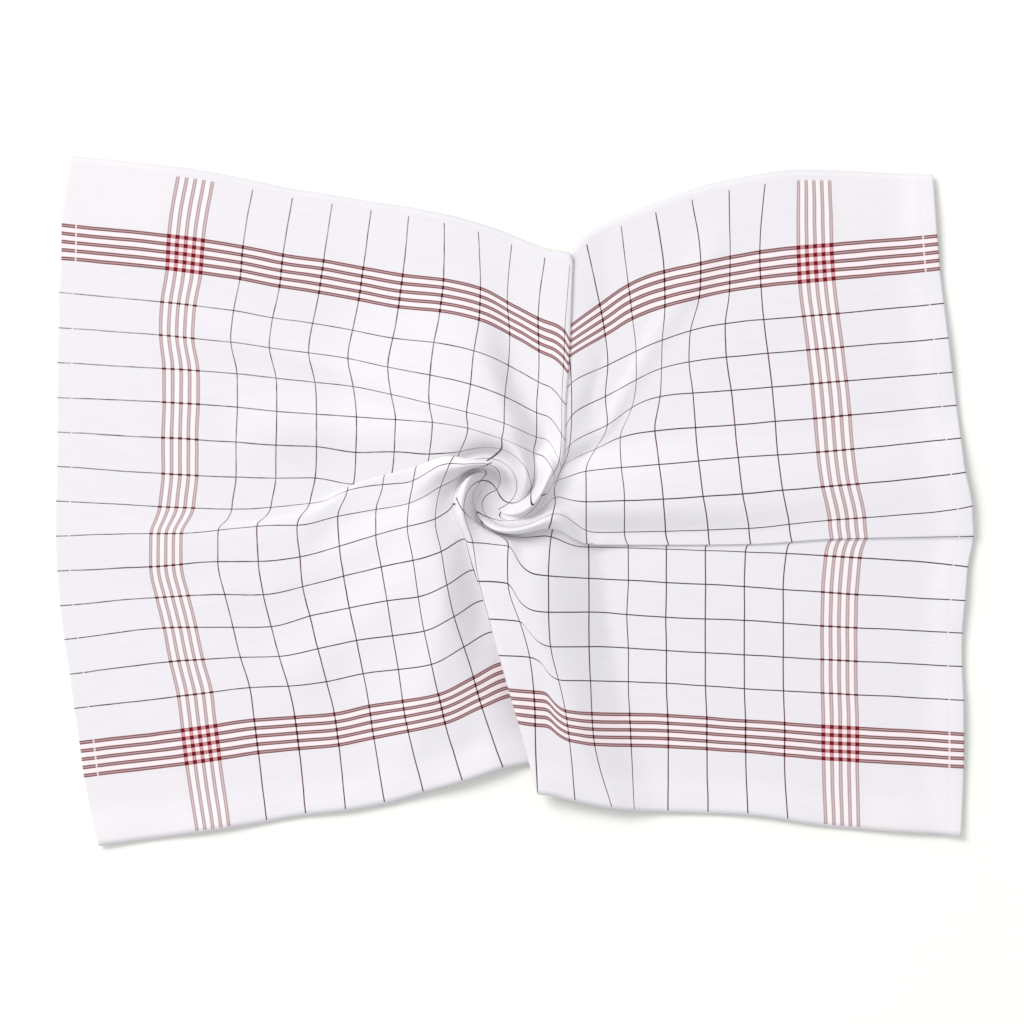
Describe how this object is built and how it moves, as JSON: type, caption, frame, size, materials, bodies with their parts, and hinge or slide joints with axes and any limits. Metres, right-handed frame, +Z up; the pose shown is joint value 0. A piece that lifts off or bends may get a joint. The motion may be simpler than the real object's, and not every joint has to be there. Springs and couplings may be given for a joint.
{
  "type": "tea towel",
  "caption": "Cotton tea towel with woven stripe borders and a window-pane check, lying flat with its middle twisted into a swirl of folds.",
  "frame": {"origin": "centre of the bounding box at its base, on the surface that the towel lies on", "axes": "+X to the right along the towel's long side, +Y to its upper edge in the picture, +Z up"},
  "size_m": [0.654, 0.493, 0.0289],
  "materials": {
    "white_cotton": "woven cotton, white with thin dark check lines and maroon border stripes"
  },
  "bodies": {
    "root": {"tea_towel": "white_cotton"}
  },
  "joints": []
}
